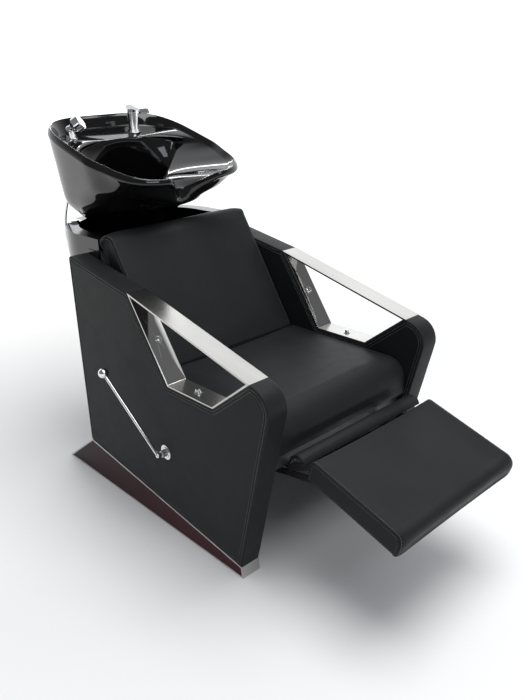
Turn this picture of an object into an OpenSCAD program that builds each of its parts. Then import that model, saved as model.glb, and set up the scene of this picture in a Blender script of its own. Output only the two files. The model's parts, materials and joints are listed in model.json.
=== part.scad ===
// Shampoo backwash unit: an upholstered salon chair with open steel arm frames, a lever-operated
// leg rest and a tilting ceramic basin on a rear housing.
// X is the width, the sitter faces -Y and Z is up.  The origin lies on the floor at the centre of
// the four floor bolts.

/* [Overall] */
// Width over both side panels
body_w = 640; // [630:5:650]
// Thickness of a side panel
panel_t = 60; // [56:1:62]
// Length of the floor strip of each base rail
base_len = 928; // [924:1:932]

/* [Seat] */
// Height of the seat cushion's top above the floor
seat_top_z = 465; // [462:1:468]
// Thickness of the seat cushion
seat_thick = 107; // [104:1:108]
// Lean of the backrest from vertical, degrees
back_lean = 31.6; // [31:0.1:32.2]
// Length of the backrest along its slope
back_len = 430; // [420:5:435]
// Thickness of the backrest cushion
back_thick = 65; // [60:1:66]

/* [Leg rest] */
// Slope of the leg rest below level, degrees
leg_slope = 17.5; // [17:0.1:18]
// Length of the leg rest pad
leg_len = 284; // [275:1:290]
// Width of the leg rest pad
leg_w = 464; // [455:1:470]
// Thickness of the leg rest cushion, without its board
leg_thick = 58; // [54:1:60]
// Radius of the crank and of the rocker that the push rods join
crank_r = 60; // [58:1:62]

/* [Lever] */
// Diameter of the lever's ball
ball_d = 30; // [26:1:34]
// Diameter of the lever's rod
lever_d = 9; // [8:0.5:10]
// Diameter of the round plate that the lever comes out of
escutcheon_d = 44; // [40:1:48]

/* [Basin] */
// Wall thickness of the basin's rim
rim_t = 14; // [12:1:15]
// Depth of the neck notch below the rim
notch_drop = 72; // [68:1:74]
// Half width of the neck notch
notch_half = 100; // [95:1:105]
// Outer diameter of the shower hose
hose_d = 12; // [10:1:13]

/* [Hidden] */
$fn = 48;
eps = 0.01;

half_w = body_w / 2;
inner_x = half_w - panel_t;
front_y = -base_len / 2;
rear_y = base_len / 2;

// Side panel outline, as [y, z] points
toe = [front_y + 3, 35];
nose = [-604, 563];
bar_front = [-529, 582];
gap_front = [-385, 472];
gap_rear = [-195, 472];
bar_rear = [-43, 701];
panel_top = [261, 755];
heel = [284, 131];

// Arm frame strip
strip_t = 5;

// Seat
seat_bottom_z = seat_top_z - seat_thick;
seat_front_y = -537;
seat_rear_y = -86;
board_t = 14;
frame_h = 30;
seat_half = inner_x - 2;

// Backrest: its front face starts at back_foot and rises along back_dir
back_foot = [-84, seat_top_z + 2];
back_dir = [sin(back_lean), cos(back_lean)];
back_out = [cos(back_lean), -sin(back_lean)];
back_half = 252;

// Leg rest: its top face starts at leg_root and runs forward and down along leg_dir
leg_root = [-635, 390];
leg_dir = [-cos(leg_slope), -sin(leg_slope)];
leg_down = [sin(leg_slope), -cos(leg_slope)];
leg_board_t = 8;
leg_board_in = 20;
leg_pivot = [-598, 338];

// Lever shaft and the parallel linkage to the leg rest
shaft_c = [-160, 261];
crank_angle = 230;
crank_dir = [cos(crank_angle), sin(crank_angle)];
rod_rear = shaft_c + crank_r * crank_dir;
rod_front = leg_pivot + crank_r * crank_dir;
shaft_d = 20;
ball_c = [41, 459];
ball_x = -375;
elbow_x = -350;
pin_d = 10;
pivot_d = 12;
run_gap = 0.05;

// Planes of the linkage plates, as distances from the centre plane
bracket_x = [178, 184];
rocker_x = [170, 176];
rod_x = [162, 168];
flap_arm_x = [154, 158];
// Stretch of X that every hole through the linkage plates runs over
hole_x = [140, 200];

// Rear housing
drum_c = 320;
drum_r = 257;
drum_front = 190;
drum_top_z = 800;
drum_low_z = 716;
drum_wall = 4;
well_c = 328;
well_r = 212;
cover_y = 245;

// Basin
rim_slope = 0.3;
ring_n = 64;
tilt_c = [400, 700];
drain_y = 400;
spray_at = [-153, 466];
mixer_at = [80, 466];
spray_base_z = 1059;
mixer_base_z = 1061;

// Shower hose route, from the hand shower down behind the housing and up to the mixer's outlet
HOSE_ROUTE = [
    [-153, 466, 1028.4], [-153, 466, 996], [-153, 473, 963], [-152, 492, 930], [-149, 520, 900],
    [-145, 549, 874], [-148, 570, 840], [-152, 583, 800], [-154, 590, 755], [-151, 592, 710],
    [-141, 590, 665], [-121, 587, 627], [-91, 585, 602], [-54, 584, 592], [-17, 584, 596],
    [16, 584, 614], [42, 584, 643], [59, 584, 681], [68, 585, 725], [72, 585, 770],
    [73, 578, 813], [74, 560, 850], [76, 532, 880], [79, 504, 907], [80, 486, 935],
    [80, 476, 962], [80, 474, 989]];

// ---------- helper functions ----------
function unit(v) = v / norm(v);
function short_turn(a) = a > 180 ? a - 360 : (a < -180 ? a + 360 : a);
function fillet(p, q, s, r, n) =
    let (u = unit(p - q), v = unit(s - q), h = acos(u * v) / 2)
    let (c = q + unit(u + v) * r / sin(h), a = q + u * r / tan(h) - c, b = q + v * r / tan(h) - c)
    let (a0 = atan2(a[1], a[0]), da = short_turn(atan2(b[1], b[0]) - a0))
    [for (i = [0:n]) c + r * [cos(a0 + da * i / n), sin(a0 + da * i / n)]];
// Outline whose corner i is rounded by radius rs[i], or left sharp where that is 0
function rounded(pts, rs, n = 8) = [for (i = [0:len(pts) - 1])
    let (m = len(pts), p = pts[(i + m - 1) % m], s = pts[(i + 1) % m])
    each rs[i] > 0 ? fillet(p, pts[i], s, rs[i], n) : [pts[i]]];
function turn_sign(pts) = sign([for (i = [0:len(pts) - 1]) cross(pts[i], pts[(i + 1) % len(pts)])]
    * [for (i = [0:len(pts) - 1]) 1]);
function left_normal(a, b) = let (d = unit(b - a)) [-d[1], d[0]];
// Outline moved inward by d on every edge
function inset(pts, d) = let (m = len(pts), s = turn_sign(pts)) [for (i = [0:m - 1])
    let (n0 = s * left_normal(pts[(i + m - 1) % m], pts[i]),
         n1 = s * left_normal(pts[i], pts[(i + 1) % m]))
    pts[i] + d * (n0 + n1) / (1 + n0 * n1)];

// ---------- helper modules ----------
// Extrudes a [y, z] outline from x0 to x1
module slab(x0, x1) {
    translate([x0, 0, 0])
        rotate([90, 0, 90])
            linear_extrude(x1 - x0) children();
}
module both_sides() {
    children();
    mirror([1, 0, 0]) children();
}
// Cylinder along X from x0 to x1 round the [y, z] point c
module x_rod(c, d, x0, x1) {
    translate([x0, c[0], c[1]]) rotate([0, 90, 0]) cylinder(d = d, h = x1 - x0);
}
module disc_at(c, d) {
    translate(c) circle(d = d);
}
// Bar outline between two [y, z] points
module bar_2d(a, b, w) {
    n = left_normal(a, b) * w / 2;
    polygon([a + n, a - n, b - n, b + n]);
}

// ---------- side panels and arm frames ----------
module panel_outline() {
    polygon(rounded([toe, nose, bar_front, gap_front, gap_rear, bar_rear, panel_top, heel],
        [0, 58, 0, 0, 0, 0, 10, 8]));
}
// Arm bolts: place along the rear leg and the bottom leg of the arm frame
leg_bolt = gap_rear + 128 * unit(bar_rear - gap_rear);
leg_bolt_angle = atan2(bar_rear[1] - gap_rear[1], bar_rear[0] - gap_rear[0]);
floor_bolt = [-289, gap_rear[1]];
bolt_d = 8;
// Puts its children on an arm bolt's axis, with +Z out of the strip into the opening
module at_arm_bolts() {
    translate([half_w - panel_t / 2, leg_bolt[0], leg_bolt[1]])
        rotate([leg_bolt_angle, 0, 0]) children();
    translate([half_w - panel_t / 2, floor_bolt[0], floor_bolt[1]]) children();
}
module bolt_hole(d) {
    translate([0, 0, -24]) cylinder(d = d, h = 24 + strip_t + 1);
}
module side_panel() {
    difference() {
        slab(inner_x, half_w) panel_outline();
        at_arm_bolts() bolt_hole(bolt_d + 2 * run_gap);
    }
}
module left_side_panel() {
    color("#26282a") difference() {
        mirror([1, 0, 0]) side_panel();
        x_rod(shaft_c, shaft_d + 6, -half_w - 1, -inner_x + 1);
    }
}
module right_side_panel() {
    color("#26282a") side_panel();
}
arm_gap = [bar_rear, bar_front, gap_front, gap_rear];
module arm_frame() {
    difference() {
        slab(inner_x, half_w) difference() {
            polygon(arm_gap);
            polygon(inset(arm_gap, strip_t));
        }
        at_arm_bolts() bolt_hole(bolt_d + 2 * run_gap);
    }
}
module left_arm_frame() {
    color("#c9cbcc") mirror([1, 0, 0]) arm_frame();
}
module right_arm_frame() {
    color("#c9cbcc") arm_frame();
}
module arm_bolt() {
    translate([0, 0, -22]) cylinder(d = bolt_d, h = 22 + strip_t + 3);
    translate([0, 0, strip_t]) cylinder(d = 22, h = 1.6);
    translate([0, 0, strip_t + 1.6]) cylinder(d = 14, h = 2.4);
    translate([0, 0, strip_t + 4]) intersection() {
        sphere(d = 14);
        cylinder(d = 14, h = 5);
    }
}
module arm_frame_bolts() {
    color("#d8dadb") both_sides() at_arm_bolts() arm_bolt();
}

// ---------- base ----------
rail_pts = [toe, [front_y, 0], [rear_y, 0], heel];
anchor_y = 400;
anchor_d = 11;
module base_rail() {
    difference() {
        slab(inner_x, half_w) difference() {
            polygon(rail_pts);
            polygon(inset(rail_pts, strip_t));
        }
        for (y = [-anchor_y, anchor_y])
            translate([half_w - panel_t / 2, y, -1]) cylinder(d = anchor_d, h = strip_t + 2);
    }
}
module left_base_rail() {
    color("#c9cbcc") mirror([1, 0, 0]) base_rail();
}
module right_base_rail() {
    color("#c9cbcc") base_rail();
}
plinth_t = 6;
plinth_recess = 2;
module plinth_panel() {
    slab(half_w - plinth_recess - plinth_t, half_w - plinth_recess)
        polygon(inset(rail_pts, strip_t));
}
module left_plinth_panel() {
    color("#3a0d16") mirror([1, 0, 0]) plinth_panel();
}
module right_plinth_panel() {
    color("#3a0d16") plinth_panel();
}
beam = [40, 30];
tube_wall = 3;
beam_half = half_w - plinth_recess - plinth_t;
module base_beam(y) {
    slab(-beam_half, beam_half) difference() {
        translate([y, strip_t]) square(beam);
        translate([y + tube_wall, strip_t + tube_wall])
            square([beam[0] - 2 * tube_wall, beam[1] - 2 * tube_wall]);
    }
}
module mid_base_beam() {
    color("#202224") base_beam(40);
}
module rear_base_beam() {
    color("#202224") base_beam(290);
}

// ---------- seat ----------
seat_frame_z = seat_bottom_z - board_t - frame_h;
frame_front_y = -508;
frame_len = 438;
frame_side = 30;
module seat_frame() {
    color("#202224") difference() {
        translate([-inner_x, frame_front_y, seat_frame_z]) cube([2 * inner_x, frame_len, frame_h]);
        translate([-inner_x + frame_side, frame_front_y + frame_side, seat_frame_z - 1])
            cube([2 * (inner_x - frame_side), frame_len - 2 * frame_side, frame_h + 2]);
    }
}
module seat_board() {
    color("#1c1d1f") translate([-seat_half + 8, frame_front_y + 4, seat_bottom_z - board_t])
        cube([2 * seat_half - 16, frame_len - 20, board_t]);
}
module seat_cushion() {
    color("#2b2e30") slab(-seat_half, seat_half)
        polygon(rounded([[seat_front_y, seat_bottom_z], [seat_front_y, seat_top_z],
            [seat_rear_y, seat_top_z], [seat_rear_y, seat_bottom_z]], [14, 55, 6, 0]));
}

// ---------- backrest ----------
back_tip = back_foot + back_len * back_dir;
skirt_z = 376;
module back_cushion() {
    color("#2b2e30") slab(-back_half, back_half)
        polygon(rounded([[back_foot[0], skirt_z], back_foot, back_tip,
            back_tip + back_thick * back_out, back_foot + back_thick * back_out,
            [back_foot[0] + back_thick * back_out[0], skirt_z]], [10, 0, 30, 28, 0, 10]));
}
back_board_in = 27;
back_board_len = back_len - 40;
module back_board() {
    base = back_foot + (back_thick + eps) * back_out;
    top = base + back_board_len * back_dir;
    color("#1c1d1f") slab(-back_half + back_board_in, back_half - back_board_in)
        polygon([base, top, top + board_t * back_out, base + board_t * back_out]);
}
back_bracket = [80, 240];
back_bracket_t = 20;
module back_brackets() {
    base = back_foot + (back_thick + board_t + 2 * eps) * back_out;
    low = base + back_bracket[0] * back_dir;
    high = base + back_bracket[1] * back_dir;
    color("#202224") both_sides() slab(inner_x - 60, inner_x)
        polygon([low, high, high + back_bracket_t * back_out, low + back_bracket_t * back_out]);
}

// ---------- leg rest ----------
leg_end = leg_root + leg_len * leg_dir;
leg_half = leg_w / 2;
module leg_rest_cushion() {
    color("#2b2e30") slab(-leg_half, leg_half)
        polygon(rounded([leg_root, leg_end, leg_end + leg_thick * leg_down,
            leg_root + leg_thick * leg_down], [12, 30, 12, 6]));
}
module leg_rest_board() {
    under = leg_root + (leg_thick + eps) * leg_down;
    rear = under + leg_board_in * leg_dir;
    front = under + (leg_len - 1.5 * leg_board_in) * leg_dir;
    color("#1c1d1f") slab(-leg_half + leg_board_in, leg_half - leg_board_in)
        polygon([rear, front, front + leg_board_t * leg_down, rear + leg_board_t * leg_down]);
}
board_under = leg_root + (leg_thick + leg_board_t + 2 * eps) * leg_down;
plate_back = board_under + 22 * leg_dir;
plate_front = board_under + 120 * leg_dir;
plate_lip = 14 * leg_down;
eye_d = 26;
pin_eye_d = 22;
arm_w = 22;
crossbar_at = 85;
crossbar = [30, 12];
module rocker_plate() {
    difference() {
        slab(rocker_x[0], rocker_x[1]) {
            disc_at(leg_pivot, eye_d);
            disc_at(rod_front, pin_eye_d + 2);
            bar_2d(leg_pivot, rod_front, arm_w);
            polygon([plate_back, plate_front, plate_front + plate_lip, rod_front]);
            bar_2d(leg_pivot, plate_back + plate_lip, 16);
        }
        x_rod(leg_pivot, pivot_d + 2 * run_gap, hole_x[0], hole_x[1]);
        x_rod(rod_front, pin_d, hole_x[0], hole_x[1]);
    }
}
module left_rocker_plate() {
    color("#202224") mirror([1, 0, 0]) rocker_plate();
}
module right_rocker_plate() {
    color("#202224") rocker_plate();
}
module leg_crossbar() {
    start = board_under + crossbar_at * leg_dir;
    long = crossbar[0] * leg_dir;
    deep = crossbar[1] * leg_down;
    color("#202224") slab(-rocker_x[0], rocker_x[0])
        polygon([start, start + long, start + long + deep, start + deep]);
}
module rod_front_pins() {
    color("#d8dadb") both_sides() x_rod(rod_front, pin_d, rod_x[0] - 3, rocker_x[1]);
}
bracket_foot = [frame_front_y + 2, seat_frame_z - 18];
bracket_foot_len = 110;
module hinge_bracket() {
    difference() {
        slab(bracket_x[0], bracket_x[1]) {
            disc_at(leg_pivot, eye_d);
            bar_2d(leg_pivot, bracket_foot + [6, 0], arm_w);
            translate(bracket_foot) square([bracket_foot_len, 18]);
        }
        x_rod(leg_pivot, pivot_d, hole_x[0], hole_x[1]);
    }
    slab(bracket_x[1], inner_x - 4)
        translate([bracket_foot[0], seat_frame_z - 5]) square([bracket_foot_len, 5]);
}
module left_hinge_bracket() {
    color("#202224") mirror([1, 0, 0]) hinge_bracket();
}
module right_hinge_bracket() {
    color("#202224") hinge_bracket();
}
module leg_pivot_pins() {
    color("#d8dadb") both_sides() x_rod(leg_pivot, pivot_d, flap_arm_x[0] - 4, bracket_x[1]);
}

// ---------- lever, torque shaft and push rods ----------
module push_rods() {
    color("#202224") both_sides() difference() {
        slab(rod_x[0], rod_x[1]) {
            disc_at(rod_rear, pin_eye_d);
            disc_at(rod_front, pin_eye_d);
            bar_2d(rod_rear, rod_front, 16);
        }
        x_rod(rod_rear, pin_d + 2 * run_gap, hole_x[0], hole_x[1]);
        x_rod(rod_front, pin_d + 1, hole_x[0], hole_x[1]);
    }
}
module rod_rear_pins() {
    color("#d8dadb") both_sides() x_rod(rod_rear, pin_d, rod_x[0] - 3, rocker_x[1]);
}
module torque_shaft() {
    color("#8a8d90") {
        difference() {
            x_rod(shaft_c, shaft_d, -half_w - 18, inner_x - 4);
            x_rod(shaft_c, 12, -half_w - 19, -half_w + 12);
        }
        both_sides() difference() {
            slab(rocker_x[0], rocker_x[1]) {
                disc_at(shaft_c, 34);
                disc_at(rod_rear, pin_eye_d);
                bar_2d(shaft_c, rod_rear, 20);
            }
            x_rod(rod_rear, pin_d, hole_x[0], hole_x[1]);
            x_rod(shaft_c, shaft_d - 2, hole_x[0], hole_x[1]);
        }
    }
}
module shaft_bearings() {
    color("#8a8d90") both_sides() difference() {
        x_rod(shaft_c, 56, inner_x - 12, inner_x);
        x_rod(shaft_c, shaft_d + 2 * run_gap, inner_x - 13, inner_x + 1);
    }
}
module escutcheon() {
    color("#d8dadb") difference() {
        union() {
            x_rod(shaft_c, escutcheon_d, -half_w - 4, -half_w);
            x_rod(shaft_c, escutcheon_d - 12, -half_w - 6, -half_w);
        }
        x_rod(shaft_c, shaft_d + 2, -half_w - 7, -half_w + 1);
    }
}
elbow = [elbow_x, shaft_c[0], shaft_c[1]];
ball = [ball_x, ball_c[0], ball_c[1]];
module tube_between(a, b, d) {
    v = b - a;
    translate(a)
        rotate([0, acos(v[2] / norm(v)), atan2(v[1], v[0])]) cylinder(d = d, h = norm(v));
}
module lever_rod() {
    color("#d8dadb") {
        x_rod(shaft_c, 12, elbow_x, -half_w + 11);
        translate(elbow) sphere(d = 12.5);
        tube_between(elbow, ball - 12 * unit(ball - elbow), lever_d);
    }
}
module lever_ball() {
    color("#d8dadb") difference() {
        translate(ball) sphere(d = ball_d);
        tube_between(elbow, ball - 12 * unit(ball - elbow), lever_d);
    }
}

// ---------- flap over the gap between seat and leg rest ----------
flap_line = [[-559, 350], [-567, 367], [-578, 375], [-588, 376], [-598, 371], [-604, 360]];
flap_half = 229;
flap_t = 2;
flap_pad_t = 5;
function thick_line(pts, lo, hi) = let (m = len(pts) - 1, n = [for (i = [0:m])
    -left_normal(pts[max(i - 1, 0)], pts[min(i + 1, m)])])
    concat([for (i = [0:m]) pts[i] + lo * n[i]], [for (i = [m:-1:0]) pts[i] + hi * n[i]]);
module flap_frame() {
    color("#c9cbcc") {
        slab(-flap_half, flap_half) polygon(thick_line(flap_line, 0, flap_t));
        both_sides() difference() {
            slab(flap_arm_x[0], flap_arm_x[1]) {
                disc_at(leg_pivot, 24);
                polygon([leg_pivot + [-11, 4], leg_pivot + [11, 4], flap_line[2] + [0, 0.5],
                    flap_line[4] + [0, 0.5]]);
            }
            x_rod(leg_pivot, pivot_d + 2 * run_gap, hole_x[0], hole_x[1]);
        }
    }
}
module gap_flap() {
    color("#2b2e30") slab(-flap_half + 1, flap_half - 1)
        polygon(thick_line(flap_line, flap_t + eps, flap_t + flap_pad_t));
}

// ---------- rear structure and housing ----------
rail_s = 40;
upper_rail = [205, 566];
lower_rail = [205, 160];
module cross_rail(at) {
    slab(-inner_x, inner_x) difference() {
        translate(at) square(rail_s);
        translate(at + [tube_wall, tube_wall]) square(rail_s - 2 * tube_wall);
    }
}
module upper_cross_rail() {
    color("#202224") cross_rail(upper_rail);
}
module lower_cross_rail() {
    color("#202224") cross_rail(lower_rail);
}
cover_t = 4;
door = [-150, 150, 210, 520];
module rear_cover() {
    color("#141516") difference() {
        translate([-inner_x + 1, cover_y, 150]) cube([2 * inner_x - 2, cover_t, 444]);
        translate([door[0] + 8, cover_y - 1, door[2] + 8])
            cube([door[1] - door[0] - 16, cover_t + 2, door[3] - door[2] - 16]);
    }
}
screw_d = 5;
module door_screws(d, h) {
    for (x = [door[0] + 4, door[1] - 4], z = [door[2] + 30, door[3] - 30])
        translate([x, cover_y + cover_t, z]) rotate([-90, 0, 0]) cylinder(d = d, h = h);
}
module access_panel() {
    color("#1a1b1d") difference() {
        translate([door[0], cover_y + cover_t, door[2]])
            cube([door[1] - door[0], 3, door[3] - door[2]]);
        translate([0, -1, 0]) door_screws(screw_d, 6);
        for (i = [0:5])
            translate([-70, cover_y + cover_t - 1, door[3] - 100 + 12 * i]) cube([140, 5, 5]);
    }
}
module access_screws() {
    color("#d8dadb") {
        door_screws(screw_d, 3);
        translate([0, 3, 0]) door_screws(10, 2.5);
    }
}
// D-shaped outline seen from above: straight sides from y0 and a half round rear
module d_shape(r, y0) {
    translate([0, drum_c]) intersection() {
        circle(r = r, $fn = 96);
        translate([-r, 0]) square([2 * r, r]);
    }
    translate([-r, y0]) square([2 * r, drum_c - y0 + eps]);
}
module drum_shell() {
    color("#141516") difference() {
        translate([0, 0, drum_low_z]) linear_extrude(drum_top_z - drum_low_z)
            d_shape(drum_r, drum_front);
        translate([0, 0, drum_low_z - 1]) linear_extrude(drum_top_z - drum_wall - drum_low_z + 1)
            d_shape(drum_r - drum_wall, drum_front - 1);
        translate([0, well_c, drum_low_z]) cylinder(r = well_r, h = 100, $fn = 96);
        translate([-well_r, drum_front - 1, drum_low_z])
            cube([2 * well_r, well_c - drum_front + 1, 100]);
        translate([grommet_at[0], grommet_at[1], drum_low_z]) cylinder(d = 28, h = 100);
    }
    color("#141516") both_sides()
        translate([drum_r, drum_front + 5, drum_low_z + 8]) cube([inner_x - drum_r, 55, 40]);
}
pan_profile = [[0, 596], [150, 596], [215, 622], [246, 668], [drum_r, drum_low_z]];
pan_inside = [[0, 600], [149, 600], [212, 625], [242, 670], [drum_r - drum_wall, drum_low_z]];
module pan_section() {
    polygon(concat(pan_profile, [for (i = [4:-1:0]) pan_inside[i]]));
}
module drum_pan() {
    color("#141516") {
        translate([0, drum_c, 0]) rotate_extrude(angle = 180, $fn = 96) pan_section();
        for (m = [0, 1]) mirror([m, 0, 0])
            translate([0, drum_c, 0]) rotate([90, 0, 0])
                linear_extrude(drum_c - cover_y - cover_t - 1) pan_section();
    }
}
grommet_at = [-170, 482];
module deck_grommet() {
    color("#d8dadb") translate([grommet_at[0], grommet_at[1], drum_top_z]) {
        difference() {
            cylinder(d = 42, h = 4);
            translate([0, 0, -1]) cylinder(d = 28, h = 6);
        }
        translate([0, 0, 0]) cylinder(d = 27.9, h = 7);
    }
}

// ---------- basin support ----------
// Planes of the bracket's and the cradle's ears, as distances from the centre plane
bracket_ear_x = [56, 64];
cradle_ear_x = [46, 54];
ear_d = 32;
plate_d = 150;
arm_pts = [upper_rail + [0, rail_s], upper_rail + [rail_s, rail_s], [upper_rail[0] + rail_s, 632],
    [376, 632], [tilt_c[0] + 14, 684], [tilt_c[0] + 16, tilt_c[1]], [tilt_c[0] - 14, tilt_c[1] + 8],
    [352, 672], [upper_rail[0], 672]];
module bowl_bracket() {
    color("#202224") {
        both_sides() difference() {
            slab(bracket_ear_x[0], bracket_ear_x[1]) {
                polygon(arm_pts);
                disc_at(tilt_c, ear_d);
            }
            x_rod(tilt_c, pivot_d, cradle_ear_x[1], bracket_ear_x[1] + 6);
        }
        slab(-bracket_ear_x[0], bracket_ear_x[0])
            translate([upper_rail[0], 656]) square([14, 16]);
    }
}
module bowl_cradle() {
    color("#202224") {
        difference() {
            translate([0, tilt_c[0], 724]) cylinder(d = plate_d, h = 10);
            translate([0, tilt_c[0], 723]) cylinder(d = plate_d - 70, h = 12);
        }
        both_sides() difference() {
            slab(cradle_ear_x[0], cradle_ear_x[1]) {
                disc_at(tilt_c, ear_d);
                translate([tilt_c[0] - ear_d / 2, tilt_c[1]]) square([ear_d, 25]);
            }
            x_rod(tilt_c, pivot_d + 2 * run_gap, cradle_ear_x[0] - 6, bracket_ear_x[0]);
        }
    }
}
module tilt_pins() {
    color("#d8dadb") both_sides()
        x_rod(tilt_c, pivot_d, cradle_ear_x[0] - 4, bracket_ear_x[1] + 4);
}

// ---------- basin ----------
// Height of the rim plane over the [y] position
function rim_z(y) = 1033.3 + rim_slope * (y - 267.4);
function step(t) = let (u = min(max(t, 0), 1)) u * u * (3 - 2 * u);
// Share of the neck notch at width x, on the front side only
function notch(x, front) = front && abs(x) < notch_half ? pow(cos(90 * x / notch_half), 2) : 0;
// One closed ring of the basin, round [0, cy]: half width a, front and rear depth bf and br,
// roundness nf and nr, centre height z, slope, the notch's push back and drop, and the deck's drop
function ring(a, bf, br, nf, nr, cy, z, slope, push, drop, deck = 0) =
    [a, bf, br, nf, nr, cy, z, slope, push, drop, deck];
// The points of ring q, made wider by grow and lifted by lift
function ring_points(q, grow = 0, lift = 0) = [for (i = [0:ring_n - 1])
    let (a = q[0] + grow, cy = q[5], push = q[8], drop = q[9], slope = q[7], deck = q[10],
         z = q[6] + lift, t = 360 * (i + 0.5) / ring_n, front = sin(t) < 0,
         n = front ? q[3] : q[4], b = (front ? q[1] : q[2]) + grow,
         r = 1 / pow(pow(abs(cos(t)) / a, n) + pow(abs(sin(t)) / b, n), 1 / n))
    let (y0 = cy + r * sin(t), x = r * cos(t) * (1 - 0.055 * step((250 - y0) / 100)),
         k = notch(x, front), y = y0 + push * k)
    [x, y, z + slope * (y - cy) - drop * k - deck * step((y - 400) / 110)]];
outer_rings = [
    ring(74, 74, 74, 2, 2, 400, 734, 0, 0, 0),
    ring(86, 84, 82, 2, 2, 402, 756, 0, 0, 0),
    ring(124, 120, 106, 2, 2.4, 405, 788, 0, 0, 0),
    ring(168, 150, 128, 2.1, 3, 404, 832, 0, 0, 0),
    ring(197, 232, 151, 2.3, 3.6, 394, 868, 0.03, 0, 0),
    ring(215, 228, 200, 2.4, 3.6, 350, 915, 0.12, 18, 22),
    ring(228, 222, 247, 2.8, 3.8, 305, 958, 0.24, 35, 38),
    ring(239, 240, 265, 3.6, 3.8, 290, 1010, rim_slope, 65, notch_drop - 2)];
rim_rings = [
    ring(241, 262, 267, 3.8, 3.8, 290, 1026, rim_slope, 90, notch_drop),
    ring(240 - rim_t / 2, 268 - rim_t / 2, 267 - rim_t / 2, 3.8, 3.8, 290, 1042, rim_slope, 92,
        notch_drop)];
inner_rings = [
    ring(240 - rim_t, 268 - rim_t, 267 - rim_t, 3.8, 3.8, 290, 1036, rim_slope, 93, notch_drop),
    ring(219, 236, 240, 3.8, 3.8, 290, 1027, rim_slope, 88, notch_drop, 20),
    ring(182, 135, 52, 1.1, 1.8, 382, 1015, 0.75, 0, 0),
    ring(140, 105, 86, 1.6, 2.2, 345, 920, 0.15, 0, 0),
    ring(122, 98, 72, 2, 2.2, 375, 840, 0, 0, 0),
    ring(96, 88, 62, 2, 2, 392, 790, 0, 0, 0),
    ring(36, 36, 36, 2, 2, 400, 764, 0, 0, 0)];
rings_up = len(inner_rings) - 1;
// Hollow under the basin: the outer wall's shape made smaller, less the inside made larger
bowl_wall = 13;
lid = ring(60, 60, 60, 2, 2, 290, 1040, rim_slope, 0, 0);
cover_ring = ring(250, 260, 260, 3.8, 3.8, 290, 1100, rim_slope, 0, 0);
module loft(rings) {
    polyhedron([for (r = rings) each r], loft_faces(len(rings), ring_n));
}
module bowl_hollow() {
    difference() {
        loft(concat([ring_points(ring(62, 62, 62, 2, 2, 400, 730, 0, 0, 0))],
            [for (q = outer_rings) ring_points(q, -bowl_wall)], [ring_points(lid)]));
        loft(concat([for (i = [rings_up:-1:1]) ring_points(inner_rings[i], bowl_wall, -bowl_wall)],
            [ring_points(cover_ring)]));
    }
}
// Quads between rings, closed by a fan at both ends
function loft_faces(m, n) = concat(
    [[for (i = [0:n - 1]) i]],
    [for (j = [0:m - 2], i = [0:n - 1])
        let (a = j * n + i, b = j * n + (i + 1) % n) each [[a, a + n, b], [b, a + n, b + n]]],
    [[for (i = [n - 1:-1:0]) (m - 1) * n + i]]);
drain_d = 46;
seat_d = 54;
spray_hole_d = 30;
// Extrudes an [x, z] outline from y0 to y1
module front_slab(y0, y1) {
    translate([0, y1, 0]) rotate([90, 0, 0]) linear_extrude(y1 - y0) children();
}
module rear_opening() {
    front_slab(492, 620)
        polygon(rounded([[-160, 790], [160, 790], [174, 938], [-174, 938]], [20, 20, 14, 14]));
}
module deck_seat(at, z) {
    translate([at[0], at[1], z - 26]) cylinder(d = seat_d, h = 26);
}
module deck_cut(at, z, d) {
    translate([at[0], at[1], z]) cylinder(d = seat_d, h = 40);
    translate([at[0], at[1], z - 60]) cylinder(d = d, h = 90);
}
module bowl() {
    color("#0b0c0d") difference() {
        union() {
            difference() {
                loft([for (q = concat(outer_rings, rim_rings, inner_rings)) ring_points(q)]);
                bowl_hollow();
            }
            deck_seat(spray_at, spray_base_z);
            deck_seat(mixer_at, mixer_base_z);
        }
        translate([0, drain_y, 700]) cylinder(d = drain_d, h = 100);
        rear_opening();
        deck_cut(spray_at, spray_base_z, spray_hole_d);
        deck_cut(mixer_at, mixer_base_z, mixer_d);
    }
}
module waste_flange() {
    color("#c9cbcc") difference() {
        union() {
            translate([0, drain_y, 764]) cylinder(d = 62, h = 3);
            translate([0, drain_y, 690]) cylinder(d = drain_d, h = 75);
        }
        translate([0, drain_y, 680]) cylinder(d = 40, h = 100);
    }
}
module waste_strainer() {
    color("#d8dadb") difference() {
        translate([0, drain_y, 764]) {
            cylinder(d = 39.6, h = 3);
            translate([0, 0, 3]) cylinder(d = 48, h = 1.5);
            translate([0, 0, 4.5]) cylinder(d = 7, h = 9);
        }
        for (i = [0:7]) rotate_about_drain(45 * i)
            translate([13, 0, 760]) cylinder(d = 5, h = 12);
    }
}
module rotate_about_drain(a) {
    translate([0, drain_y, 0]) rotate([0, 0, a]) children();
}

// ---------- swept hoses ----------
function mix(a, b, t) = a * (1 - t) + b * t;
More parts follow.
